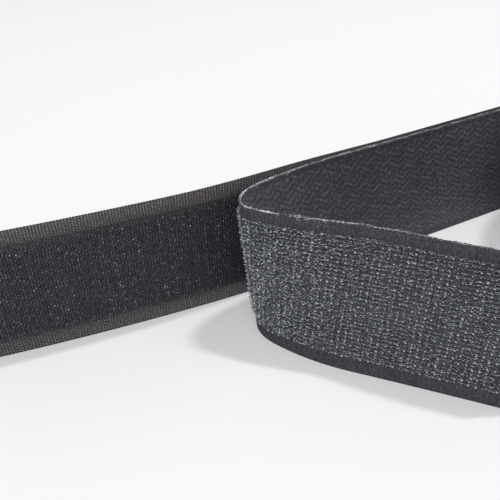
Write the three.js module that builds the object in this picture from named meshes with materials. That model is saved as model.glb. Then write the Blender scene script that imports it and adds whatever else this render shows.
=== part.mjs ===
// Hook and loop tape: a pair of woven tapes wound together on one core, with the two leading
// lengths pulled off the roll and stood on edge. The hook tape folds back on itself; the loop
// tape runs on behind it.
//
// Millimetres, +Z up along the width of the tape. Both tapes and the core stand on z = 0. The
// roll's axis is upright. Angles are in degrees, seen from above, counter-clockwise from +X.

import * as THREE from "three";

// Driving dimensions

const tapeWidth = 50;

const hookTape = {
  coat: 0.2,            // binder coat on the back
  web: 0.6,             // woven ground
  pile: 1.5,            // height of the hooks above the web
  lowerSelvage: 5.5,    // plain edge under the hooks
  upperSelvage: 3.8,    // plain edge over the hooks
};

const loopTape = {
  coat: 0,
  web: 0.5,
  pile: 1.1,            // height of the loops above the web
  lowerSelvage: 6.2,
  upperSelvage: 6.2,
};

const core = {
  outerDiameter: 50,
  wall: 2.5,
  sides: 48,
};

const winding = {
  turns: 9.25,
  stepsPerTurn: 24,
  coreClearance: 0.5,   // between the core and the first turn
  layerGap: 0.3,        // between one tape and the next
  exitHeading: 206.7,   // the way the tapes run where they leave the roll
};

// Lengths of the runs that each pulled-off length lies in, along its lower edge
const hookRun = {
  offTheRollLength: 108,
  intoTheFoldLength: 50.5,
  halfTheFoldLength: 11.5,
  outOfTheFoldLength: 29.6,
  frontLegLength: 30,
  cutEndLength: 20,
};

const loopRun = {
  offTheRollLength: 103,
  behindTheFoldLength: 39.5,
  pastTheFoldLength: 36,
  openLength: 84,
};

// The routes of the two lengths over the surface they stand on, from the roll to the cut end.
// Each run turns by so many degrees. Where it ends, the tape's upper edge stands off from over
// its lower edge, in X and Y, by these shares of the tape's width.
const hookRoute = [
  { length: hookRun.offTheRollLength, turn: 0, steps: 10, leanShares: [-0.026, -0.052] },
  { length: hookRun.intoTheFoldLength, turn: 14.3, steps: 10, leanShares: [-0.078, -0.026] },
  { length: hookRun.halfTheFoldLength, turn: 47.6, steps: 5, leanShares: [-0.074, -0.016] },
  { length: hookRun.halfTheFoldLength, turn: 47.6, steps: 5, leanShares: [-0.08, 0.076] },
  { length: hookRun.outOfTheFoldLength, turn: 20.7, steps: 8, leanShares: [0.038, 0.182] },
  { length: hookRun.frontLegLength, turn: -1, steps: 4, leanShares: [-0.014, 0.14] },
  { length: hookRun.cutEndLength, turn: 0, steps: 1, leanShares: [-0.014, 0.14] },
];

const loopRoute = [
  { length: loopRun.offTheRollLength, turn: 0, steps: 10, leanShares: [-0.02, -0.074] },
  { length: loopRun.behindTheFoldLength, turn: 0.6, steps: 5, leanShares: [0.012, -0.054] },
  { length: loopRun.pastTheFoldLength, turn: -5.1, steps: 6, leanShares: [0.008, -0.098] },
  { length: loopRun.openLength, turn: -6, steps: 10, leanShares: [0.048, -0.092] },
];

const loopExitTurn = -0.7;   // the outer tape leaves the roll this much wider than the inner one

// Sizes that follow

const thickness = (tape) => tape.coat + tape.web + tape.pile;
const coreRadius = core.outerDiameter / 2;
const turnPitch = thickness(hookTape) + thickness(loopTape) + 2 * winding.layerGap;
const climb = turnPitch / (2 * Math.PI);   // rise of the spiral per radian

const radians = THREE.MathUtils.degToRad;

// Stations: where the back of the tape stands, which way it runs, and how its upper edge leans

function station(x, y, heading, leanX = 0, leanY = 0) {
  return { x, y, heading, leanX, leanY };
}

// The wound length of one tape, from the core outwards, as one unbroken spiral.
function windingStations(innerRadius) {
  const steps = Math.round(winding.turns * winding.stepsPerTurn);
  const outerRadius = innerRadius + climb * 2 * Math.PI * winding.turns;
  const exitAngle = radians(winding.exitHeading - 90) + Math.atan(climb / outerRadius);
  const stations = [];
  for (let step = 0; step <= steps; step += 1) {
    const swept = (steps - step) * 2 * Math.PI / winding.stepsPerTurn;
    const angle = exitAngle - swept;
    const radius = outerRadius - climb * swept;
    const heading = angle + Math.PI / 2 - Math.atan(climb / radius);
    stations.push(station(radius * Math.cos(angle), radius * Math.sin(angle), heading));
  }
  return stations;
}

// The pulled-off length of one tape, on from the last station of its winding.
function routeStations(first, exitTurn, route) {
  const stations = [first];
  let { x, y, leanX, leanY } = first;
  let heading = first.heading + radians(exitTurn);
  for (const run of route) {
    const stepTurn = radians(run.turn) / run.steps;
    const stepLength = run.length / run.steps;
    const half = stepTurn / 2;
    const chord = stepTurn === 0 ? stepLength : stepLength * Math.sin(half) / half;
    const [endLeanX, endLeanY] = run.leanShares.map((share) => share * tapeWidth);
    for (let step = 1; step <= run.steps; step += 1) {
      x += chord * Math.cos(heading + half);
      y += chord * Math.sin(heading + half);
      heading += stepTurn;
      const share = step / run.steps;
      stations.push(station(
        x, y, heading,
        leanX + (endLeanX - leanX) * share,
        leanY + (endLeanY - leanY) * share,
      ));
    }
    [leanX, leanY] = [endLeanX, endLeanY];
  }
  return stations;
}

// A point of the tape: `depth` out from its back, `height` up its width.
function tapePoint(at, depth, height) {
  const share = height / tapeWidth;
  const rise = Math.sqrt(1 - (at.leanX ** 2 + at.leanY ** 2) / tapeWidth ** 2);
  return [
    at.x + depth * Math.sin(at.heading) + at.leanX * share,
    at.y - depth * Math.cos(at.heading) + at.leanY * share,
    height * rise,
  ];
}

// One closed band along the stations, between two depths. Its section goes up the front at the
// given heights and down the back at the same ones. Every face is split along the diagonal from
// its low near corner to its high far one, so that layers that touch share their faces exactly.
function bandGeometry(stations, backDepth, frontDepth, heights) {
  const levels = heights.length;
  const ringSize = 2 * levels;
  const positions = [];
  for (const at of stations) {
    for (const height of heights) positions.push(...tapePoint(at, frontDepth, height));
    for (const height of [...heights].reverse()) positions.push(...tapePoint(at, backDepth, height));
  }
  const indices = [];
  for (let ring = 0; ring + 1 < stations.length; ring += 1) {
    for (let corner = 0; corner < ringSize; corner += 1) {
      const next = (corner + 1) % ringSize;
      const [near, nearNext] = [ring * ringSize + corner, ring * ringSize + next];
      const [far, farNext] = [near + ringSize, nearNext + ringSize];
      const goesDown = corner >= levels && corner < ringSize - 1;
      if (goesDown) indices.push(near, far, nearNext, far, farNext, nearNext);
      else indices.push(near, far, farNext, near, farNext, nearNext);
    }
  }
  const lastRing = (stations.length - 1) * ringSize;
  for (let level = 0; level + 1 < levels; level += 1) {
    const [front, frontUp] = [level, level + 1];
    const [back, backUp] = [ringSize - 1 - level, ringSize - 2 - level];
    indices.push(front, frontUp, backUp, front, backUp, back);
    indices.push(
      lastRing + front, lastRing + backUp, lastRing + frontUp,
      lastRing + front, lastRing + back, lastRing + backUp,
    );
  }
  const geometry = new THREE.BufferGeometry();
  geometry.setAttribute("position", new THREE.Float32BufferAttribute(positions, 3));
  geometry.setIndex(indices);
  geometry.computeVertexNormals();
  return geometry;
}

// Least distance, in plan, from the front of a winding to the back of any turn that isn't its own.
function leastGapToItself(stations, tapeThickness) {
  const half = winding.stepsPerTurn / 2;
  const fronts = stations.map((at) => new THREE.Vector2(...tapePoint(at, tapeThickness, 0)));
  const backs = stations.map((at) => new THREE.Vector2(...tapePoint(at, 0, 0)));
  let least = Infinity;
  fronts.forEach((front, index) => {
    for (let other = index + half; other + 1 < backs.length; other += 1) {
      const along = backs[other + 1].clone().sub(backs[other]);
      const reach = front.clone().sub(backs[other]).dot(along) / along.lengthSq();
      const foot = backs[other].clone().addScaledVector(along, THREE.MathUtils.clamp(reach, 0, 1));
      least = Math.min(least, front.distanceTo(foot));
    }
  });
  return least;
}

function lengthAlong(stations) {
  let total = 0;
  for (let index = 1; index < stations.length; index += 1) {
    const [from, to] = [stations[index - 1], stations[index]];
    total += Math.hypot(to.x - from.x, to.y - from.y);
  }
  return total;
}

// Materials

function finish(color, roughness) {
  return new THREE.MeshStandardMaterial({
    color, roughness, metalness: 0, flatShading: true, side: THREE.FrontSide,
  });
}

const materials = {
  hookWeb: finish("#3a3b40", 0.85),
  hookCoat: finish("#3c3d42", 0.6),
  hookPile: finish("#54585c", 0.55),
  loopWeb: finish("#2c2b2f", 0.8),
  loopPile: finish("#26262a", 0.95),
  cardboard: finish("#9c8161", 0.9),
};

// Sub-parts

const group = new THREE.Group();

function add(name, geometry, material) {
  const mesh = new THREE.Mesh(geometry, material);
  mesh.name = name;
  group.add(mesh);
}

function coreGeometry() {
  const outline = new THREE.Shape();
  outline.absarc(0, 0, coreRadius, 0, 2 * Math.PI);
  const bore = new THREE.Path();
  bore.absarc(0, 0, coreRadius - core.wall, 0, 2 * Math.PI);
  outline.holes.push(bore);
  return new THREE.ExtrudeGeometry(outline, {
    depth: tapeWidth, bevelEnabled: false, curveSegments: core.sides / 2,
  });
}

// The heights where a tape's plain lower edge ends and its plain upper edge starts.
function pileHeights(tape) {
  return [tape.lowerSelvage, tapeWidth - tape.upperSelvage];
}

const hookInnerRadius = coreRadius + winding.coreClearance;
const loopInnerRadius = hookInnerRadius + thickness(hookTape) + winding.layerGap;
const hookWinding = windingStations(hookInnerRadius);
const loopWinding = windingStations(loopInnerRadius);
const hookLength = routeStations(hookWinding.at(-1), 0, hookRoute);
const loopLength = routeStations(loopWinding.at(-1), loopExitTurn, loopRoute);

add("roll_core", coreGeometry(), materials.cardboard);

add(
  "hook_tape_wound",
  bandGeometry(hookWinding, 0, thickness(hookTape), [0, tapeWidth]),
  materials.hookWeb,
);
add(
  "loop_tape_wound",
  bandGeometry(loopWinding, 0, thickness(loopTape), [0, tapeWidth]),
  materials.loopWeb,
);

const hookLevels = [0, ...pileHeights(hookTape), tapeWidth];
const hookWebFace = hookTape.coat + hookTape.web;
add("hook_tape_back_coat", bandGeometry(hookLength, 0, hookTape.coat, hookLevels), materials.hookCoat);
add("hook_tape_web", bandGeometry(hookLength, hookTape.coat, hookWebFace, hookLevels), materials.hookWeb);
add(
  "hook_tape_hooks",
  bandGeometry(hookLength, hookWebFace, thickness(hookTape), pileHeights(hookTape)),
  materials.hookPile,
);

const loopLevels = [0, ...pileHeights(loopTape), tapeWidth];
add("loop_tape_web", bandGeometry(loopLength, 0, loopTape.web, loopLevels), materials.loopWeb);
add(
  "loop_tape_loops",
  bandGeometry(loopLength, loopTape.web, thickness(loopTape), pileHeights(loopTape)),
  materials.loopPile,
);

// The origin is under the middle of the whole part.
const bounds = new THREE.Box3().setFromObject(group);
const middle = bounds.getCenter(new THREE.Vector3());
group.position.set(-middle.x, -middle.y, -bounds.min.z);

const inMetres = (length) => (length / 1000).toFixed(2);
console.log(
  `least gap of a winding to itself: hook tape ${leastGapToItself(hookWinding, thickness(hookTape)).toFixed(2)} mm,`
  + ` loop tape ${leastGapToItself(loopWinding, thickness(loopTape)).toFixed(2)} mm`,
);
console.log(
  `length of the hook tape ${inMetres(lengthAlong(hookWinding) + lengthAlong(hookLength))} m,`
  + ` of the loop tape ${inMetres(lengthAlong(loopWinding) + lengthAlong(loopLength))} m`,
);

export default group;
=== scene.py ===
# Hook and loop tape: two woven tapes wound together on a card core, with their leading lengths
# pulled off and stood on edge. The hook tape folds back on itself; the loop tape runs behind it.
#
# Every piece of a tape is first modelled on a flat tape, in millimetres: X is the distance along
# the tape (0 where it leaves the roll, less than 0 in the roll), Z is the height up its width,
# and -Y is the depth out from its back, so the pile faces -Y. Then it is laid on the tape's line.

import math

import bpy
import numpy as np
from mathutils import Matrix, Vector


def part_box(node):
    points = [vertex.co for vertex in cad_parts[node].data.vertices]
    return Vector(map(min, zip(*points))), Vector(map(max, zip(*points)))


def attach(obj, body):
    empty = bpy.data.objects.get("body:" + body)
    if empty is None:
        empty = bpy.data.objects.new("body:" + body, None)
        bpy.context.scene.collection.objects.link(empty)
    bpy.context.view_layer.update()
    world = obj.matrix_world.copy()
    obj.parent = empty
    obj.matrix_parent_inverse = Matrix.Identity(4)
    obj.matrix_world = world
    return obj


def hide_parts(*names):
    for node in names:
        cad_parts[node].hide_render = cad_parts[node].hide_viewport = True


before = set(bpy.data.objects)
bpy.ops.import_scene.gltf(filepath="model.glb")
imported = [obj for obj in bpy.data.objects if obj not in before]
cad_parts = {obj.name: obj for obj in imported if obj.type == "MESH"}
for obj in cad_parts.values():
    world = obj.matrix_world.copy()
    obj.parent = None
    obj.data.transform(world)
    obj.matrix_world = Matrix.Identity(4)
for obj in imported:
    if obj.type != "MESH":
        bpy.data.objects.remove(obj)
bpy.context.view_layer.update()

MM = 0.001

# Sizes, in millimetres and degrees, as the solids have them

TAPE_WIDTH = 50
HOOK_COAT, HOOK_WEB, HOOK_PILE = 0.2, 0.6, 1.5
HOOK_LOWER_SELVAGE, HOOK_UPPER_SELVAGE = 5.5, 3.8
LOOP_WEB, LOOP_PILE = 0.5, 1.1
LOOP_SELVAGE = 6.2
HOOK_FACE = HOOK_COAT + HOOK_WEB
HOOK_THICKNESS = HOOK_FACE + HOOK_PILE
LOOP_THICKNESS = LOOP_WEB + LOOP_PILE

CORE_RADIUS, CORE_WALL, CORE_CLEARANCE = 25, 2.5, 0.5
TURNS, LAYER_GAP, EXIT_HEADING = 9.25, 0.3, 206.7
HOOK_INNER_RADIUS = CORE_RADIUS + CORE_CLEARANCE
LOOP_INNER_RADIUS = HOOK_INNER_RADIUS + HOOK_THICKNESS + LAYER_GAP
CLIMB = (HOOK_THICKNESS + LOOP_THICKNESS + 2 * LAYER_GAP) / (2 * math.pi)

# Runs of the pulled-off lengths: length, turn, and where the upper edge stands off at the end
HOOK_RUNS = (
    (108, 0, (-1.3, -2.6)), (50.5, 14.3, (-3.9, -1.3)), (11.5, 47.6, (-3.7, -0.8)),
    (11.5, 47.6, (-4, 3.8)), (29.6, 20.7, (1.9, 9.1)), (30, -1, (-0.7, 7)), (20, 0, (-0.7, 7)),
)
LOOP_RUNS = (
    (103, 0, (-1, -3.7)), (39.5, 0.6, (0.6, -2.7)), (36, -5.1, (0.4, -4.9)),
    (84, -6, (2.4, -4.6)),
)
LOOP_EXIT_TURN = -0.7


# Small helpers

def linear(code):
    """The linear colour of an sRGB hex value."""
    parts = [int(code[place:place + 2], 16) / 255 for place in (1, 3, 5)]
    return (*(p / 12.92 if p <= 0.04045 else ((p + 0.055) / 1.055) ** 2.4 for p in parts), 1)


def add_node(tree, kind, inputs=None, stops=(), **settings):
    """Adds a node. Each input is a value, a socket, or a node that gives its first output. stops
    are the levels and the colours of a colour ramp."""
    node = tree.nodes.new("ShaderNode" + kind)
    for name, value in settings.items():
        setattr(node, name, value)
    for number, (level, code) in enumerate(stops):
        elements = node.color_ramp.elements
        stop = elements[number] if number < 2 else elements.new(level)
        stop.position, stop.color = level, linear(code)
    for name, value in (inputs or {}).items():
        if isinstance(value, bpy.types.Node):
            value = value.outputs[0]
        if isinstance(value, bpy.types.NodeSocket):
            tree.links.new(value, node.inputs[name])
        else:
            node.inputs[name].default_value = value
    return node


def new_material(name, roughness, **plain):
    """A material with its Principled shader, and the values that are the same all over it."""
    material = bpy.data.materials.new(name)
    material.use_nodes = True
    shader = material.node_tree.nodes["Principled BSDF"]
    shader.inputs["Roughness"].default_value = roughness
    for socket, value in plain.items():
        shader.inputs[socket.replace("_", " ")].default_value = value
    return material, material.node_tree, shader


def select_only(piece=None):
    bpy.ops.object.select_all(action="DESELECT")
    if piece is not None:
        piece.select_set(True)
        bpy.context.view_layer.objects.active = piece


def finished_mesh(piece, material, angle=40):
    """Gives a piece its material and smooth faces with sharp edges past an angle."""
    piece.data.materials.append(material)
    select_only(piece)
    bpy.ops.object.shade_smooth_by_angle(angle=math.radians(angle))
    piece.select_set(False)
    return piece


# Camera, at the photograph's height and angle

camera = bpy.data.objects.new("camera", bpy.data.cameras.new("camera"))
bpy.context.scene.collection.objects.link(camera)
camera.data.sensor_width = 36
camera.data.lens = 43.2
camera.data.clip_start, camera.data.clip_end = 0.01, 20
camera.matrix_world = (
    Matrix.Translation((-0.07418, -0.19162, 0.1365))
    @ Matrix.Rotation(math.radians(90 - 32.46), 4, "X")
    @ Matrix.Rotation(math.radians(-2.9), 4, "Z")
)
bpy.context.scene.camera = camera

# Floor, lamps and world

bpy.context.scene.view_settings.view_transform = "Standard"

# How much of the floor's white the camera sees whatever falls on it, so that its shadows are pale
FLOOR_GLOW = 0.25

select_only()
bpy.ops.mesh.primitive_plane_add(size=8)
floor = bpy.context.object
floor.name = "floor"
floor_material, tree, shader = new_material("white acrylic sheet", 0.35)
shader.inputs["Base Color"].default_value = linear("#f8f8f9")
rays = add_node(tree, "LightPath")
share = add_node(tree, "Math", {0: rays.outputs["Is Camera Ray"], 1: FLOOR_GLOW},
                 operation="MULTIPLY")
glow = add_node(tree, "Emission", {"Color": linear("#f6f6f7"), "Strength": 1})
mixed = add_node(tree, "MixShader", {0: share, 1: shader, 2: glow})
tree.links.new(mixed.outputs[0], tree.nodes["Material Output"].inputs[0])
floor.data.materials.append(floor_material)

world = bpy.data.worlds.new("studio")
bpy.context.scene.world = world
world.use_nodes = True
tree = world.node_tree
tree.nodes.clear()
rays = add_node(tree, "LightPath")
seen = add_node(tree, "Math", {0: rays.outputs["Is Camera Ray"],
                               1: rays.outputs["Is Glossy Ray"]}, operation="MAXIMUM")
seen = add_node(tree, "Math", {0: seen, 1: rays.outputs["Is Transmission Ray"]},
                operation="MAXIMUM")
fill = add_node(tree, "Background", {"Color": linear("#ffffff"), "Strength": 0.33})
backdrop = add_node(tree, "Background", {"Color": linear("#f7f7f8"), "Strength": 1})
mixed = add_node(tree, "MixShader", {0: seen, 1: fill, 2: backdrop})
add_node(tree, "OutputWorld", {"Surface": mixed})


def area_lamp(name, aim, direction, distance, width, depth, power):
    """A soft lamp that looks at aim from a direction, wide along X and deep along Y."""
    lamp = bpy.data.objects.new(name, bpy.data.lights.new(name, "AREA"))
    bpy.context.scene.collection.objects.link(lamp)
    towards = Vector(direction).normalized()
    lamp.location = Vector(aim) + towards * distance
    side = (Vector((1, 0, 0)) - towards * towards.x).normalized()
    lamp.matrix_world = Matrix.Translation(lamp.location) @ Matrix(
        (side, towards.cross(side), towards)).transposed().to_4x4()
    lamp.data.shape = "RECTANGLE"
    lamp.data.size, lamp.data.size_y = width, depth
    lamp.data.energy = power
    return lamp


# A small lamp behind and to the right casts the crisp shadows in front of the tapes, and a wide
# one beside it the soft shadow past the fold. A large softbox above and in front fills them.
FOLD = (-0.03, -0.03, 0)
area_lamp("key lamp", FOLD, (17.5, 6.5, 50), 2.4, 0.25, 0.06, 20)
area_lamp("side lamp", FOLD, (26, 3, 50), 2.4, 0.9, 0.3, 5)
area_lamp("softbox", FOLD, (-16, -24, 50), 2.6, 2, 2, 29)


# The line that each tape takes

LINE_STEP, ROLL_STEPS = 0.5, 9000
# How far either side bends and leans are evened out, in millimetres, and how many steps the turn
# at the exit is spread over
BEND_REACH, LEAN_REACH, EXIT_STEPS = 3, 8, 8


def smoothed(values, reach):
    """Running mean over reach either side, with the end values carried on past both ends."""
    count = max(1, round(reach / LINE_STEP))
    padded = np.concatenate([np.full(count, values[0]), values, np.full(count, values[-1])])
    return np.convolve(padded, np.full(2 * count + 1, 1 / (2 * count + 1)), "valid")


def tape_line(inner_radius, exit_turn, runs):
    """Rows of a table along a tape: distance, x, y, heading, and how far the upper edge stands off
    in x and y."""
    sweep = TURNS * 2 * math.pi
    outer_radius = inner_radius + CLIMB * sweep
    exit_angle = math.radians(EXIT_HEADING - 90) + math.atan(CLIMB / outer_radius)
    left = np.linspace(sweep, 0, ROLL_STEPS)
    radius, angle = outer_radius - CLIMB * left, exit_angle - left
    x, y = radius * np.cos(angle), radius * np.sin(angle)
    steps = np.hypot(np.diff(x), np.diff(y))
    wound = np.concatenate([[0], np.cumsum(steps)]) - steps.sum()
    roll = np.stack([wound, x, y, angle + math.pi / 2 - np.arctan(CLIMB / radius), 0 * x, 0 * x])

    ends = np.cumsum([0] + [run[0] for run in runs])
    distance = np.arange(0, ends[-1] + LINE_STEP / 2, LINE_STEP)
    middle = (distance[1:] + distance[:-1]) / 2
    which = np.clip(np.searchsorted(ends, middle) - 1, 0, len(runs) - 1)
    rates = smoothed(np.array([math.radians(run[1]) / run[0] for run in runs])[which], BEND_REACH)
    rates[:EXIT_STEPS] += math.radians(exit_turn) / (EXIT_STEPS * LINE_STEP)
    heading = roll[3, -1] + np.concatenate([[0], np.cumsum(rates * LINE_STEP)])
    along = (heading[1:] + heading[:-1]) / 2
    x = roll[1, -1] + np.concatenate([[0], np.cumsum(np.cos(along) * LINE_STEP)])
    y = roll[2, -1] + np.concatenate([[0], np.cumsum(np.sin(along) * LINE_STEP)])
    leans = np.array([(0, 0)] + [run[2] for run in runs])
    lean_x = smoothed(np.interp(distance, ends, leans[:, 0]), LEAN_REACH)
    lean_y = smoothed(np.interp(distance, ends, leans[:, 1]), LEAN_REACH)
    free = np.stack([distance, x, y, heading, lean_x, lean_y])

    line = np.concatenate([roll[:, :-1], free], axis=1)
    centre = sum(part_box("roll_core"), Vector()) / 2 / MM
    line[1:3] += np.array([[centre.x], [centre.y]])
    return line


hook_line = tape_line(HOOK_INNER_RADIUS, 0, HOOK_RUNS)
loop_line = tape_line(LOOP_INNER_RADIUS, LOOP_EXIT_TURN, LOOP_RUNS)
HOOK_START, HOOK_END = hook_line[0, 0], hook_line[0, -1]
LOOP_START, LOOP_END = loop_line[0, 0], loop_line[0, -1]


def lay(piece, line):
    """Bends a piece modelled on a flat tape onto the tape's line, in metres."""
    flat = np.empty(len(piece.data.vertices) * 3)
    piece.data.vertices.foreach_get("co", flat)
    distance, depth, height = flat[0::3], -flat[1::3], flat[2::3]
    inside = np.clip(distance, line[0, 0], line[0, -1])
    x, y, heading, lean_x, lean_y = (np.interp(inside, line[0], row) for row in line[1:])
    slope_x, slope_y = (np.interp(inside, line[0], np.gradient(row, line[0])) for row in line[4:])
    share = height / TAPE_WIDTH
    rise = np.sqrt(1 - (lean_x ** 2 + lean_y ** 2) / TAPE_WIDTH ** 2)
    along = np.stack([np.cos(heading) + slope_x * share, np.sin(heading) + slope_y * share,
                      0 * share], axis=1)
    up = np.stack([lean_x / TAPE_WIDTH, lean_y / TAPE_WIDTH, rise], axis=1)
    out = np.cross(along, up)
    out /= np.linalg.norm(out, axis=1, keepdims=True)
    foot = np.stack([x, y, 0 * x], axis=1)
    placed = foot + up * height[:, None] + out * depth[:, None]
    placed += along * (distance - inside)[:, None]
    placed[:, 2] = np.maximum(placed[:, 2], 0)
    piece.data.vertices.foreach_set("co", (placed * MM).ravel())
    piece.data.update()


# Flat modelling

def mesh_piece(name, points, faces):
    """An object from arrays of points and faces."""
    mesh = bpy.data.meshes.new(name)
    mesh.from_pydata(points.tolist(), [], faces)
    mesh.update()
    piece = bpy.data.objects.new(name, mesh)
    bpy.context.scene.collection.objects.link(piece)
    return piece


def flat_points(piece):
    """The piece's corners as rows of distance, depth and height on the flat tape."""
    flat = np.empty(len(piece.data.vertices) * 3)
    piece.data.vertices.foreach_get("co", flat)
    return flat.reshape(-1, 3) * (1, -1, 1)


def measure_map(piece):
    """The piece's UV map: millimetres along the flat tape and up its width."""
    corners = np.empty(len(piece.data.loops), int)
    piece.data.loops.foreach_get("vertex_index", corners)
    layer = piece.data.uv_layers.new(name="tape")
    layer.data.foreach_set("uv", flat_points(piece)[corners][:, [0, 2]].ravel())


def set_tone(piece, tones, name="tone"):
    """How light each corner of the piece is, for its material, or one tone for all of them: 0 is
    its darkest thread."""
    attribute = piece.data.attributes.new(name, "FLOAT", "POINT")
    values = np.zeros(len(piece.data.vertices), np.float32) + np.asarray(tones, np.float32)
    attribute.data.foreach_set("value", values)


def strip(name, distances, section, shape=None):
    """A closed strip of flat tape. Its section is a loop of (depth, height) points that goes up
    the pile side and down the back. shape moves (distance, depth, height) arrays, for ribs."""
    section = np.array(section, float)
    count, ring = len(distances), len(section)
    distance = np.repeat(np.asarray(distances, float), ring)
    depth, height = np.tile(section[:, 0], count), np.tile(section[:, 1], count)
    if shape:
        distance, depth, height = shape(distance, depth, height)
    points = np.stack([distance, -depth, height], axis=1)
    start = (np.arange(count - 1) * ring)[:, None] + np.arange(ring)[None, :]
    beside = (np.arange(count - 1) * ring)[:, None] + (np.arange(ring)[None, :] + 1) % ring
    sides = np.stack([start, start + ring, beside + ring, beside], axis=2).reshape(-1, 4)
    last = (count - 1) * ring
    caps = [list(range(ring)), list(range(last + ring - 1, last - 1, -1))]
    piece = mesh_piece(name, points, sides.tolist() + caps)
    measure_map(piece)
    return piece


def stations(start, end, step):
    """Evenly spaced values from start to end, about a step apart."""
    return np.linspace(start, end, round((end - start) / step) + 1)


def upright(low, high, depth, step):
    """Points of a section that go up at one depth."""
    return [(depth, height) for height in stations(low, high, step)]


def wave(distance, pitch, shift=0):
    """1 at each pitch and -1 halfway, moved by shift of a pitch."""
    return np.cos(2 * math.pi * (distance / pitch + shift))


def wander(distance, pitch, spread):
    """A smooth offset that changes by chance, once every pitch along the tape."""
    knots = np.arange(distance.min() - pitch, distance.max() + 2 * pitch, pitch)
    return np.interp(distance, knots, chance.normal(0, spread, len(knots)))


# Materials

def tone_of(tree, fibres=None):
    """The piece's tone. fibres is the scale and the share of a noise as fine as its fibres."""
    tone = add_node(tree, "Attribute", attribute_name="tone").outputs["Fac"]
    if fibres is None:
        return tone
    scale, share = fibres
    place = add_node(tree, "UVMap", uv_map="tape")
    noise = add_node(tree, "TexNoise", {"Vector": place, "Scale": scale, "Detail": 3})
    noise = add_node(tree, "Math", {0: noise, 1: 0.5}, operation="SUBTRACT")
    noise = add_node(tree, "Math", {0: noise, 1: share}, operation="MULTIPLY")
    return add_node(tree, "Math", {0: tone, 1: noise}, operation="ADD")


def toned_material(name, roughness, stops, fibres=None, **plain):
    """A material whose colour goes through stops as the piece's tone rises from 0 to 1."""
    material, tree, shader = new_material(name, roughness, **plain)
    colour = add_node(tree, "ValToRGB", {0: tone_of(tree, fibres)}, stops)
    tree.links.new(colour.outputs[0], shader.inputs["Base Color"])
    return material


# Pitches of the weave: weft threads, rows of hooks, and hooks in a row
WEFT_PITCH, ROW_PITCH, HOOK_PITCH, ROWS = 0.98, 1.37, 2, 30

# Woven polyamide ground, dyed black: matt, with weft ribs that catch the light.
hook_web_material = toned_material(
    "woven nylon, dyed black", 0.75, ((0, "#1a1b1e"), (0.5, "#46474b"), (1, "#6c6e73")),
    (2.2, 0.5), Specular_IOR_Level=0.15)

# Binder coat: a thin rubbery skin over the back of the hook tape. The pile threads under it show
# as faint zigzag rows of pale dashes.
hook_coat_material = toned_material(
    "acrylic binder coat", 0.55, ((0, "#1e1d24"), (0.5, "#434249"), (1, "#86868f")),
    (1.6, 0.35), Specular_IOR_Level=0.2)

# Thin woven nylon: weft ribs 1 mm apart, broken into dots where pile threads pass under them. Its
# plain edges are a little lighter and greyer than its middle.
loop_web_material, tree, shader = new_material("thin woven nylon, dyed black", 0.7,
                                               Specular_IOR_Level=0.15)
tone = tone_of(tree, (2.4, 0.6))
# The lightest stop is for the painted glints
middle = add_node(tree, "ValToRGB", {0: tone}, (
    (0, "#0c0c0f"), (0.45, "#38373d"), (0.8, "#6e6d73"), (1, "#cacacc")))
border = add_node(tree, "ValToRGB", {0: tone}, ((0, "#232224"), (0.5, "#413f42"), (1, "#747174")))
share = add_node(tree, "Attribute", attribute_name="border")
colour = add_node(tree, "Mix", {0: share.outputs["Fac"], 6: middle, 7: border}, data_type="RGBA")
tree.links.new(colour.outputs[2], shader.inputs["Base Color"])

# Single threads of the same nylon, at the open edges of the loop tape: wefts, and finer warp
# threads, dark, and so thin that some light comes through them.
SHEER = {"Specular_IOR_Level": 0.2, "Subsurface_Weight": 0.7, "Subsurface_Scale": 0.001,
         "Subsurface_Radius": (1, 1, 1)}
rib_material = toned_material("nylon edge ribs", 0.6, ((0, "#29282b"), (1, "#484446")), **SHEER)
warp_material = toned_material("nylon edge warp threads", 0.6, ((0, "#1f1e21"), (1, "#3c393b")),
                               **SHEER)

# Drawn nylon monofilament, cut into hooks: glossy. Its colour goes from painted shade at the root
# to a painted highlight at the crown.
hook_material = toned_material("nylon monofilament", 0.35, (
    (0, "#23262b"), (0.3, "#787c85"), (0.65, "#b3b7bf"), (1, "#f5f8fc")))

# Brushed nylon loops: a soft black nap, with a little sheen where it is seen edge on.
loop_pile_material = toned_material("brushed nylon loops", 0.9, (
    (0, "#141416"), (0.4, "#36363a"), (1, "#96969c")), Sheen_Weight=0.3)

# Catch thread: the pale chain stitch that closes the upper edge of the hook tape.
edge_material = toned_material("catch thread", 0.6, ((0, "#26272b"), (1, "#e6e8ec")))

# Grey-brown card, wound in a spiral and glued.
card_material, tree, shader = new_material("spiral-wound card", 0.9)
place = add_node(tree, "TexCoord")
flecks = add_node(tree, "TexNoise", {"Vector": place.outputs["Object"], "Scale": 900, "Detail": 4})
colour = add_node(tree, "ValToRGB", {0: flecks}, ((0.3, "#8a7054"), (0.7, "#a98d6b")))
tree.links.new(colour.outputs[0], shader.inputs["Base Color"])


# Webs

chance = np.random.default_rng(7)

# Where the outermost turn starts, and how fine the webs, the coat and the hidden pieces are
OUTER_TURN, WEAVE_STEP, COAT_STEP, HIDDEN_STEP = -438, 0.25, 0.4, 3

# The web of the hook tape has rounded edges and fine steps on its selvages, where ribs show
HOOK_SECTION = (
    (HOOK_FACE - 0.15, 0), *upright(0.2, 5.6, HOOK_FACE, 0.5), (HOOK_FACE, 25),
    *upright(46.1, 49.4, HOOK_FACE, 0.5), (HOOK_FACE - 0.15, 49.6),
    (HOOK_COAT + 0.1, 49.6), (HOOK_COAT, 49.4), (HOOK_COAT, 25), (HOOK_COAT, 0.2),
    (HOOK_COAT + 0.1, 0),
)


def hook_web_ribs(distance, depth, height):
    """Weft ribs on the two selvages of the pile side, 1 mm apart, and faint on the upper one."""
    face = depth > HOOK_FACE - 0.01
    sunk = 0.025 * (face & (height < 5.55)) + 0.006 * (face & (height > 46.15))
    return distance, depth - sunk * (1 - wave(distance, WEFT_PITCH)), height


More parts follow.
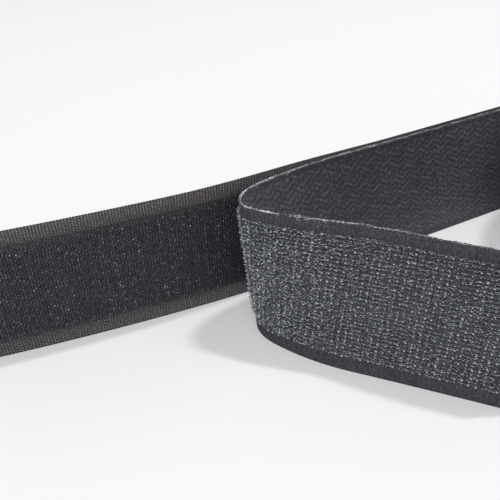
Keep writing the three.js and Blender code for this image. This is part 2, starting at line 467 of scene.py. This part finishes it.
hook_web = strip("hook_tape_ground", stations(0, HOOK_END, WEAVE_STEP), HOOK_SECTION,
                 hook_web_ribs)
distance, depth, height = flat_points(hook_web).T
under = (depth > HOOK_FACE / 2) & (height > 5.6) & (height < 46)
set_tone(hook_web, np.where(under, 0.62, 0.5) + 0.04 * wave(distance, WEFT_PITCH)
         + chance.normal(0, 0.14, len(distance)))
hook_web_wound = strip("hook_tape_ground_wound", stations(HOOK_START, 0, HIDDEN_STEP),
                       HOOK_SECTION[::2])
set_tone(hook_web_wound, 0.4)

# The coat's zigzag rows: from one row to the next, and from one turn to the next but one
COAT_ROW_PITCH, ZIGZAG_PITCH = 2.54, 7.05
COAT_SECTION = (
    (HOOK_COAT, 0.1), (HOOK_COAT, 25), (HOOK_COAT, 49.5),
    *upright(0.2, 49.4, 0, COAT_STEP)[::-1],
)


def coat_rows(distance, height):
    """Zigzag rows of short dashes, 1 at the middle of a dash, where pile threads pass under the
    coat. A zigzag climbs one row and comes down again, with a dash at the middle of each leg and
    one at each turn. The leg that climbs lies a little nearer the surface."""
    low, high = 3, 48.2
    rooted = np.clip((height - low) / 0.6, 0, 1) * np.clip((high - height) / 0.6, 0, 1)
    place = distance / ZIGZAG_PITCH - 0.04 * height + 0.03 * np.sin(height * 0.6)
    row = height / COAT_ROW_PITCH + np.abs(place % 1 * 2 - 1) + 0.05 * np.sin(distance * 0.7)
    ridge = (0.5 + 0.5 * wave(row, 1)) ** 1.5
    even = 0.75 + 0.25 * np.sin(np.round(4 * place) * 5.1 + np.round(row) * 3.7)
    leg = 0.9 + 0.1 * wave(place, 1, -0.25)
    return rooted * even * ridge * leg * (0.78 + 0.22 * wave(place, 0.25))


def coat_relief(distance, depth, height):
    return distance, depth + (depth < 0.01) * 0.04 * (1 - coat_rows(distance, height)), height


# The dashes show more in some patches. The coat is painted lighter near the roll and from the fold
# on, and a little darker between: painted light and shade
hook_coat = strip("hook_tape_coat", stations(0, HOOK_END, COAT_STEP), COAT_SECTION, coat_relief)
distance, depth, height = flat_points(hook_coat).T
patches = np.sin(distance * 0.31 + height * 0.5) * np.sin(distance * 0.17 - height * 0.41)
patches = 0.87 + 0.13 * patches
# Painted light and shade along the tape, set by distance
painted_shading = np.interp(distance, (20, 60, 85, 115, 135, 160), (0.12, 0.1, 0, -0.05, 0.02, 0.13))
set_tone(hook_coat, 0.455 + painted_shading + 0.4 * patches * coat_rows(distance, height)
         + chance.normal(0, 0.1, len(distance)))
hook_coat_wound = strip("hook_tape_coat_wound", stations(HOOK_START, 0, HIDDEN_STEP),
                        COAT_SECTION[::6])
set_tone(hook_coat_wound, 0.35)

LOOP_SECTION = (
    (LOOP_WEB - 0.05, LOOP_SELVAGE), (LOOP_WEB, LOOP_SELVAGE + 0.3), (LOOP_WEB, 25),
    (LOOP_WEB, TAPE_WIDTH - LOOP_SELVAGE - 0.3), (LOOP_WEB - 0.05, TAPE_WIDTH - LOOP_SELVAGE),
    *upright(LOOP_SELVAGE, TAPE_WIDTH - LOOP_SELVAGE, 0, 0.5)[::-1],
)


def loop_weave(distance, height):
    """Weft ribs, broken into dots where the pile threads pass, every other rib half a step on, and
    every fourth a little lighter."""
    rib = np.round(distance / WEFT_PITCH)
    dots = np.clip(wave(distance, WEFT_PITCH), 0, 1) * wave(height, 1.5, rib / 2)
    return 0.4 * wave(distance, WEFT_PITCH) + 0.85 * dots + 0.07 * wave(distance, 4 * WEFT_PITCH)


def bordering(height):
    """1 on the plain edges of the loop tape, 0 in its middle, with a soft step between them."""
    return np.clip(1 - (np.minimum(height, TAPE_WIDTH - height) - LOOP_SELVAGE) / 2.4, 0, 1)


def loop_relief(distance, depth, height):
    return distance, depth + (depth < 0.01) * 0.06 * (1.2 - loop_weave(distance, height)), height


# Here and there a painted glint, a pale dot in the colour where a fibre would catch the light,
# more in some patches than in others
loop_web = strip("loop_tape_ground", stations(0, LOOP_END, WEAVE_STEP), LOOP_SECTION, loop_relief)
distance, depth, height = flat_points(loop_web).T
border = bordering(height)
tones = 0.38 + 0.08 * border + (0.3 - 0.1 * border) * loop_weave(distance, height)
tones += chance.normal(0, 0.14, len(distance))
clusters = np.sin(distance * 0.23 + height * 0.37) * np.sin(distance * 0.11 - height * 0.29)
painted_glints = chance.uniform(0, 1, len(distance)) < 0.025 * np.clip(0.6 + clusters, 0.1, 2)
set_tone(loop_web, tones + painted_glints * chance.uniform(0.15, 0.75, len(distance)))
set_tone(loop_web, border, "border")

# In the roll the loop tape's edges are part of its web
LEVELS = (0, 6, 25, 44, 50)
FULL_SECTION = (*((LOOP_WEB, height) for height in LEVELS),
                *((0, height) for height in LEVELS[::-1]))


def outer_turn_ribs(distance, depth, height):
    """Weft ribs on the outside of the outermost turn."""
    shown = (distance > OUTER_TURN) & (depth > LOOP_WEB - 0.01)
    return distance, depth - shown * 0.06 * (1 - wave(distance, WEFT_PITCH)), height


def roll_stations(start, end, coarse, fine):
    """Stations from inside the roll to end, closer together from the outermost turn on."""
    return np.concatenate([np.arange(start, OUTER_TURN, coarse), stations(OUTER_TURN, end, fine)])


loop_web_wound = strip(
    "loop_tape_ground_wound", roll_stations(LOOP_START, 0, HIDDEN_STEP, WEFT_PITCH / 2),
    FULL_SECTION, outer_turn_ribs)
distance, depth, height = flat_points(loop_web_wound).T
set_tone(loop_web_wound, 0.5 + (distance > OUTER_TURN) * 0.3 * wave(distance, WEFT_PITCH))
set_tone(loop_web_wound, bordering(height), "border")


def band(name, places, face, thickness, low, high):
    """The dense foot of a pile: a strip between two heights with a lumpy outer side."""
    heights = np.linspace(low, high, 14)
    section = [(face + thickness, height) for height in heights]
    section += [(face, height) for height in heights[::-4]]

    def lumpy(distance, depth, height):
        raised = depth > face + 0.01
        lumps = np.sin(distance * 2.9 + height * 3.7) * np.sin(distance * 1.3 - height * 2.1)
        return distance, depth - raised * thickness * 0.22 * (1 + lumps), height

    piece = strip(name, places, section, lumpy)
    set_tone(piece, chance.uniform(0.05, 0.4, len(piece.data.vertices)))
    return piece


hook_ground = band("hook_tape_pile_wound", stations(HOOK_START, 0.5, 4), HOOK_FACE,
                   HOOK_PILE * 0.9, HOOK_LOWER_SELVAGE, TAPE_WIDTH - HOOK_UPPER_SELVAGE)
loop_ground = band("loop_tape_pile_ground", roll_stations(LOOP_START, LOOP_END, 4, 1), LOOP_WEB,
                   LOOP_PILE * 0.6, LOOP_SELVAGE, TAPE_WIDTH - LOOP_SELVAGE)


# Pile forms

def filament(name, radius, corners, leg, bend_radius, bend, steps, tail=0):
    """One bent filament that stands on the tape at 0, 0: a straight leg out along -Y, a bend over
    towards +X, and a straight tail."""
    select_only()
    bpy.ops.mesh.primitive_circle_add(vertices=corners, radius=radius, fill_type="NGON")
    form = bpy.context.object
    form.name = name
    bpy.ops.object.mode_set(mode="EDIT")
    bpy.ops.mesh.select_all(action="SELECT")
    bpy.ops.transform.rotate(value=math.radians(90), orient_axis="X", center_override=(0, 0, 0))
    bpy.ops.mesh.extrude_region_move(TRANSFORM_OT_translate={"value": (0, -leg, 0)})
    bpy.ops.mesh.spin(steps=steps, angle=-math.radians(bend), center=(bend_radius, -leg, 0),
                      axis=(0, 0, 1))
    if tail:
        turn = math.radians(bend)
        bpy.ops.mesh.extrude_region_move(
            TRANSFORM_OT_translate={"value": (tail * math.sin(turn), -tail * math.cos(turn), 0)})
    bpy.ops.mesh.select_all(action="SELECT")
    bpy.ops.mesh.remove_doubles(threshold=radius / 50)
    bpy.ops.mesh.normals_make_consistent(inside=False)
    bpy.ops.object.mode_set(mode="OBJECT")
    return form


def joined(forms):
    """Several forms as one mesh."""
    select_only(forms[0])
    for form in forms:
        form.select_set(True)
    bpy.ops.object.join()
    return forms[0]


def planted(name, form, places, depth, sizes, twists, leans, tones, root=1, power=1):
    """One mesh with a copy of form at each (distance, height) place, standing at a depth. Each
    has its own size, twist about its leg, lean (along, across) and tone. root is how much of the
    tone is left at its foot, and a higher power keeps the lightest part to its crown."""
    count, corners = len(places), len(form.data.vertices)
    model = flat_points(form) * (1, -1, 1)
    c, s = np.cos(twists)[:, None], np.sin(twists)[:, None]
    x, y, z = (model[None, :, axis] * sizes[:, None] for axis in range(3))
    x, z = c * x + s * z, c * z - s * x
    x, z = x - y * leans[:, :1], z - y * leans[:, 1:]
    points = np.stack([x + places[:, :1], y - depth, z + places[:, 1:]], axis=2)
    faces = [tuple(face.vertices) for face in form.data.polygons]
    shifts = range(0, count * corners, corners)
    faces = [tuple(corner + shift for corner in face) for shift in shifts for face in faces]
    piece = mesh_piece(name, points.reshape(-1, 3), faces)
    # Painted shade and highlight: below 1, root darkens each copy towards its foot, and power
    # keeps the lightest colour to its crown
    rise = np.clip(-model[:, 1] / -model[:, 1].min(), 0, 1) ** power
    tones = tones[:, None] * (root + (1 - root) * rise[None, :])
    set_tone(piece, (tones * chance.uniform(0.7, 1.3, tones.shape)).ravel())
    return piece


# A hook is an upright filament with a small crown, cut on one side, with the stub of its other
# leg beside it. Between the hooks stand low ones that the knife missed.
hook_form = joined([
    filament("hook", 0.13, 4, 1.15, 0.18, 175, 4, 0.1),
    filament("stub", 0.11, 4, 0.95, 0.5, 20, 1),
])
hook_form.data.transform(Matrix.Translation((-0.25, 0.1, 0)))
low_form = filament("low hook", 0.1, 3, 0.45, 0.34, 165, 3)
low_form.data.transform(Matrix.Translation((-0.36, 0.1, 0)))


def hook_field(name, start, end):
    """Hooks in rows along the tape: two tall ones, then two shorter ones, the other way round in
    every other row. Low ones fill the gaps, four to a hook. All of them stand less evenly up to
    the fold than past it."""
    places, tall = [], []
    for row in range(ROWS):
        height = HOOK_LOWER_SELVAGE + 0.45 + row * ROW_PITCH
        steps = np.arange(math.ceil(start / HOOK_PITCH), math.floor((end - 0.6) / HOOK_PITCH) + 1)
        places.append(np.stack([steps * HOOK_PITCH + 0.5 + 0.12 * (height - 26),
                                np.full(len(steps), height)], axis=1))
        tall.append((steps // 2 + row) % 2 == 0)
    places, tall = np.concatenate(places), np.concatenate(tall)
    inside = (places[:, 0] > start + 0.6) & (places[:, 0] < end - 0.6)
    places, tall = places[inside], tall[inside]
    count = len(places)
    disorder = np.interp(places[:, 0], (150, 185, 215), (1, 1, 0.45))[:, None]
    shifts, leans = (disorder * chance.normal(0, spread, (count, 2)) for spread in (0.12, 0.2))
    twists = disorder[:, 0] * chance.normal(0, 0.6, count)
    sizes = np.where(tall, chance.normal(1, 0.04, count), chance.normal(0.88, 0.05, count))
    tones = np.where(tall, chance.uniform(0.8, 1.75, count), chance.uniform(0.35, 1.05, count))
    tones *= 1 + 0.3 * wave(places[:, 0] - 0.33 * places[:, 1], 10.2)
    # Painted shade: the hooks in the top rows, next to the upper selvage, are made darker
    tones *= 1 - 0.4 * np.clip((places[:, 1] - 41) / 3, 0, 1)
    hooks = planted(name, hook_form, places + shifts, HOOK_FACE, sizes, twists, leans, tones,
                    root=0.2, power=3)

    steps = ((0.35, 0.26), (0.9, -0.24), (1.35, 0.24), (1.85, -0.26))
    places = np.concatenate([places + step for step in steps])
    disorder = np.tile(disorder, (4, 1))
    count = len(places)
    places += (0.3 + disorder) * chance.normal(0, 0.13, (count, 2))
    inside = (places[:, 0] < end - 0.5) & (places[:, 1] > HOOK_LOWER_SELVAGE + 0.1)
    places, disorder = places[inside], disorder[inside, 0]
    count = len(places)
    low = planted(name + "_low", low_form, places, HOOK_FACE, chance.uniform(0.8, 1.25, count),
                  (0.05 + 0.5 * disorder) * chance.normal(0, 1, count),
                  chance.normal(0, 0.14, (count, 2)),
                  # Painted light: the low hooks are made lighter up to the fold
                  chance.uniform(0.25, 0.95, count) * (0.85 + 0.4 * disorder),
                  root=0.3, power=2)
    return [hooks, low]


hook_pieces = []
spans = np.linspace(0, HOOK_END, 4)
for number, (start, end) in enumerate(zip(spans[:-1], spans[1:]), 1):
    hook_pieces += hook_field(f"hook_tape_hooks_{number}", start, end)

# A loop is a thinner filament that comes out of the web and goes back in.
LOOP_SPACING = 1.25
loop_form = filament("loop", 0.1, 3, 0.45, 0.56, 180, 4)
loop_form.data.transform(Matrix.Translation((-0.56, 0.1, 0)))


def loop_field(name, start, end):
    """Loops spread evenly, each with its own twist, and brushed lighter in some patches."""
    heights = np.arange(LOOP_SELVAGE + 0.4, TAPE_WIDTH - LOOP_SELVAGE - 0.3, LOOP_SPACING)
    distances = np.arange(start + 0.5, end - 0.5, LOOP_SPACING)
    along, up = np.meshgrid(distances, heights)
    along[::2] += LOOP_SPACING / 2
    places = np.stack([along.ravel(), up.ravel()], axis=1)
    count = len(places)
    places += chance.normal(0, 0.3, (count, 2))
    places[:, 0] = np.clip(places[:, 0], start + 0.4, end - 0.4)
    places[:, 1] = np.clip(places[:, 1], LOOP_SELVAGE + 0.1, TAPE_WIDTH - LOOP_SELVAGE - 0.1)
    brushed = 1 + 0.45 * np.sin(places[:, 0] * 0.35 + places[:, 1] * 0.6) * np.sin(
        places[:, 0] * 0.21 - places[:, 1] * 0.43)
    # Each loop is painted darker at its foot, as painted shade
    return planted(name, loop_form, places, LOOP_WEB, chance.uniform(0.8, 1.12, count),
                   chance.uniform(0, 2 * math.pi, count), chance.normal(0, 0.3, (count, 2)),
                   brushed * chance.uniform(0.3, 0.7, count), root=0.4)


loop_pieces = []
spans = np.linspace(OUTER_TURN, LOOP_END, 5)
for number, (start, end) in enumerate(zip(spans[:-1], spans[1:]), 1):
    loop_pieces.append(loop_field(f"loop_tape_loops_{number}", start, end))


# Edges

def tube(name, places, depth, height, across, up, corners=6, shape=None):
    """A thread that runs along the tape, with an oval section."""
    turns = [2 * math.pi * corner / corners for corner in range(corners)]
    section = [(depth + across / 2 * math.sin(turn), height - up / 2 * math.cos(turn))
               for turn in turns]
    return strip(name, places, section, shape)


THREAD_TWIST, THREAD_DEPTH, THREAD_HEIGHT = 2.6, 0.42, 49.8


def strand(name, start_turn):
    """One of the two strands of the catch thread, wound loosely round the other, with lumps of
    uneven size."""
    places = stations(0, HOOK_END - 0.5, 0.3)
    out, over = wander(places, 1.9, 0.1), wander(places, 2.3, 0.12)
    swell = 1 + np.clip(wander(places, 1.3, 0.35), -0.4, 0.8)

    def twisted(distance, depth, height):
        turn = start_turn + 2 * math.pi * distance / THREAD_TWIST
        size = np.interp(distance, places, swell)
        depth = THREAD_DEPTH + (depth - THREAD_DEPTH) * size + 0.17 * np.cos(turn)
        height = THREAD_HEIGHT + (height - THREAD_HEIGHT) * size + 0.13 * np.sin(turn)
        return (distance, depth + np.interp(distance, places, out),
                height + np.interp(distance, places, over))

    return tube(name, places, THREAD_DEPTH, THREAD_HEIGHT, 0.3, 0.28, 6, twisted)


thread = joined([strand("strand_0", 0), strand("strand_1", math.pi)])
thread.name = "hook_tape_catch_thread"


def thread_painted_light(distance):
    """How light the catch thread is painted: lightest round the fold and darker away from it, a
    painted highlight and painted shade.
    """
    return np.interp(distance, (40, 100, 145, 158, 190, 215, 230),
                     (0.35, 0.6, 0.8, 1.25, 1.1, 0.8, 0.25))


distance, depth, height = flat_points(thread).T
set_tone(thread, thread_painted_light(distance) * np.clip(
    0.42 + 0.2 * wave(distance, THREAD_TWIST / 2) + wander(distance, 2.2, 0.18)
    + wander(distance, 0.7, 0.2) + chance.normal(0, 0.15, len(distance)), 0.05, 1.3))
thread_wound = tube("hook_tape_catch_thread_wound", stations(HOOK_START, 0, 1.3), THREAD_DEPTH,
                    THREAD_HEIGHT, 0.55, 0.4, 4)
set_tone(thread_wound, chance.uniform(0.02, 0.25, len(thread_wound.data.vertices)))

# Short ends of the catch thread that have worked loose, on both faces and over the edge.
whisker_form = filament("whisker", 0.045, 3, 0.25, 0.45, 60, 2)
whisker_form.data.transform(Matrix.Rotation(math.radians(90), 4, "X"))
count = 260
places = np.stack([chance.uniform(40, 235, count), chance.uniform(49.1, 49.9, count)], axis=1)
depths = chance.choice([-0.06, 0.42, 0.88], count)
# The loose ends carry the same painted light as the catch thread
whiskers = planted(
    "hook_tape_catch_thread_ends", whisker_form, places, depths[:, None],
    chance.uniform(0.7, 1.6, count), chance.uniform(0, 2 * math.pi, count), np.zeros((count, 2)),
    thread_painted_light(places[:, 0]) * chance.uniform(0.2, 0.9, count))

# Frayed warp threads at the two cut ends.
select_only()
bpy.ops.mesh.primitive_cylinder_add(vertices=4, radius=0.1, depth=1.6, end_fill_type="NGON")
fray_form = bpy.context.object
fray_form.name = "frayed thread"
fray_form.data.transform(Matrix.Rotation(math.radians(90), 4, "Y")
                         @ Matrix.Translation((0, 0, 0.3)))


def frayed(name, end, depth, tone):
    """Loose thread ends of uneven length across a cut end."""
    heights = np.arange(0.3, TAPE_WIDTH - 0.5, 0.42)
    count = len(heights)
    places = np.stack([end + chance.normal(0, 0.2, count), heights], axis=1)
    return planted(name, fray_form, places, depth + chance.normal(0, 0.08, count)[:, None],
                   chance.uniform(0.6, 1.2, count), chance.normal(0, 0.22, count),
                   np.zeros((count, 2)), np.full(count, tone))


hook_fray = frayed("hook_tape_cut_end", HOOK_END, HOOK_COAT + HOOK_WEB / 2, 0.6)
loop_fray = frayed("loop_tape_cut_end", LOOP_END, LOOP_WEB / 2, 0.6)
set_tone(loop_fray, 0.5, "border")

# The open edges of the loop tape: weft threads that reach out to an edge cord, and fine warp
# threads that go over one and under the next.
select_only()
bpy.ops.mesh.primitive_cylinder_add(vertices=6, radius=1, depth=1, end_fill_type="NGON")
rib_form = bpy.context.object
rib_form.name = "weft thread"
rib_form.scale = (0.27, 0.19, LOOP_SELVAGE + 0.1)
bpy.ops.object.transform_apply(location=False, rotation=False, scale=True)

WARPS, WARP_PITCH = 17, 0.35


def over_and_under(side):
    """The shape of a warp thread that starts on one side of the wefts, 1 or -1."""
    def weaving(distance, depth, height):
        return distance, depth + side * 0.1 * wave(distance - 0.5, 2 * WEFT_PITCH), height

    return weaving


edge_pieces = []
for name, middle, edge in (("lower", LOOP_SELVAGE / 2 + 0.1, 0.22),
                           ("upper", TAPE_WIDTH - LOOP_SELVAGE / 2 - 0.1, TAPE_WIDTH - 0.22)):
    distances = np.arange(0.5, LOOP_END - 0.4, WEFT_PITCH)
    count = len(distances)
    places = np.stack([distances, np.full(count, middle)], axis=1)
    edge_pieces.append((planted(
        f"loop_tape_{name}_edge_weft", rib_form, places, LOOP_WEB / 2, np.ones(count),
        np.zeros(count), np.zeros((count, 2)), np.ones(count)), rib_material))
    warps = [tube(f"loop_tape_{name}_edge_cord", stations(0, LOOP_END, 1), LOOP_WEB / 2,
                  edge, 0.3, 0.3)]
    for number in range(WARPS):
        warps.append(tube(f"warp_{name}_{number}", stations(0.5, LOOP_END - 0.5, WEFT_PITCH),
                          LOOP_WEB / 2, middle + (number - WARPS // 2) * WARP_PITCH, 0.14, 0.4, 4,
                          over_and_under(1 - 2 * (number % 2))))
    edge_pieces.append((joined(warps), warp_material))

# The threads are lighter towards the very edge
for piece, _ in edge_pieces:
    inset = np.abs(flat_points(piece)[:, 2] - TAPE_WIDTH / 2) - (TAPE_WIDTH / 2 - LOOP_SELVAGE)
    set_tone(piece, np.clip(inset / LOOP_SELVAGE, 0, 1) ** 0.8)

# Core: a card tube wound in a spiral, with the step of its seam and softened ends.
core_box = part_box("roll_core")
centre = (core_box[0] + core_box[1]) / 2
CORE_SIDES, SEAM_PITCH = 120, 62
HEIGHTS = (0, 0.3, 1, *range(3, 48, 2), 49, 49.7, 50)
points = []
for radius, side in ((CORE_RADIUS, 1), (CORE_RADIUS - CORE_WALL, -1)):
    for height in HEIGHTS if side > 0 else HEIGHTS[::-1]:
        softened = 0.25 * (height in (0, 50)) + 0.05 * (height in (0.3, 49.7))
        for corner in range(CORE_SIDES):
            turn = 2 * math.pi * corner / CORE_SIDES
            seam = (turn / (2 * math.pi) * SEAM_PITCH - height) % SEAM_PITCH
            reach = radius - side * (softened + 0.12 * (seam < 1.5))
            points.append((reach * math.cos(turn), reach * math.sin(turn), height))
rings = 2 * len(HEIGHTS)
faces = []
for ring in range(rings):
    for corner in range(CORE_SIDES):
        beside, above = (corner + 1) % CORE_SIDES, (ring + 1) % rings
        faces.append((ring * CORE_SIDES + corner, ring * CORE_SIDES + beside,
                      above * CORE_SIDES + beside, above * CORE_SIDES + corner))
core = mesh_piece("roll_core_card", np.array(points) * MM, faces)
core.data.transform(Matrix.Translation((centre.x, centre.y, 0)))

# Each piece: its line, material, slot and the solids that it stands for

for piece, line, material, slot, nodes in (
    (hook_web, hook_line, hook_web_material, "hook_tape_fabric", ("hook_tape_web",)),
    (hook_web_wound, hook_line, hook_web_material, "hook_tape_fabric", ("hook_tape_wound",)),
    (hook_coat, hook_line, hook_coat_material, "binder_coat", ("hook_tape_back_coat",)),
    (hook_coat_wound, hook_line, hook_coat_material, "binder_coat", ("hook_tape_wound",)),
    (loop_web, loop_line, loop_web_material, "loop_tape_fabric", ("loop_tape_web",)),
    (loop_web_wound, loop_line, loop_web_material, "loop_tape_fabric", ("loop_tape_wound",)),
    (hook_ground, hook_line, hook_material, "hook_filament", ("hook_tape_wound",)),
    (loop_ground, loop_line, loop_pile_material, "loop_pile", ("loop_tape_loops",)),
    (thread, hook_line, edge_material, "hook_tape_fabric", ("hook_tape_web",)),
    (thread_wound, hook_line, edge_material, "hook_tape_fabric", ("hook_tape_wound",)),
    (whiskers, hook_line, edge_material, "hook_tape_fabric", ("hook_tape_web",)),
    (hook_fray, hook_line, hook_web_material, "hook_tape_fabric", ("hook_tape_web",)),
    (loop_fray, loop_line, loop_web_material, "loop_tape_fabric", ("loop_tape_web",)),
    *((piece, loop_line, material, "loop_tape_fabric", ("loop_tape_web",))
      for piece, material in edge_pieces),
    *((piece, hook_line, hook_material, "hook_filament", ("hook_tape_hooks",))
      for piece in hook_pieces),
    *((piece, loop_line, loop_pile_material, "loop_pile", ("loop_tape_loops",))
      for piece in loop_pieces),
    (core, None, card_material, "core_card", ("roll_core",)),
):
    if line is not None:
        lay(piece, line)
    finished_mesh(piece, material)
    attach(piece, "root")
    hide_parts(*nodes)

for form in (hook_form, low_form, loop_form, rib_form, whisker_form, fray_form):
    bpy.data.objects.remove(form)
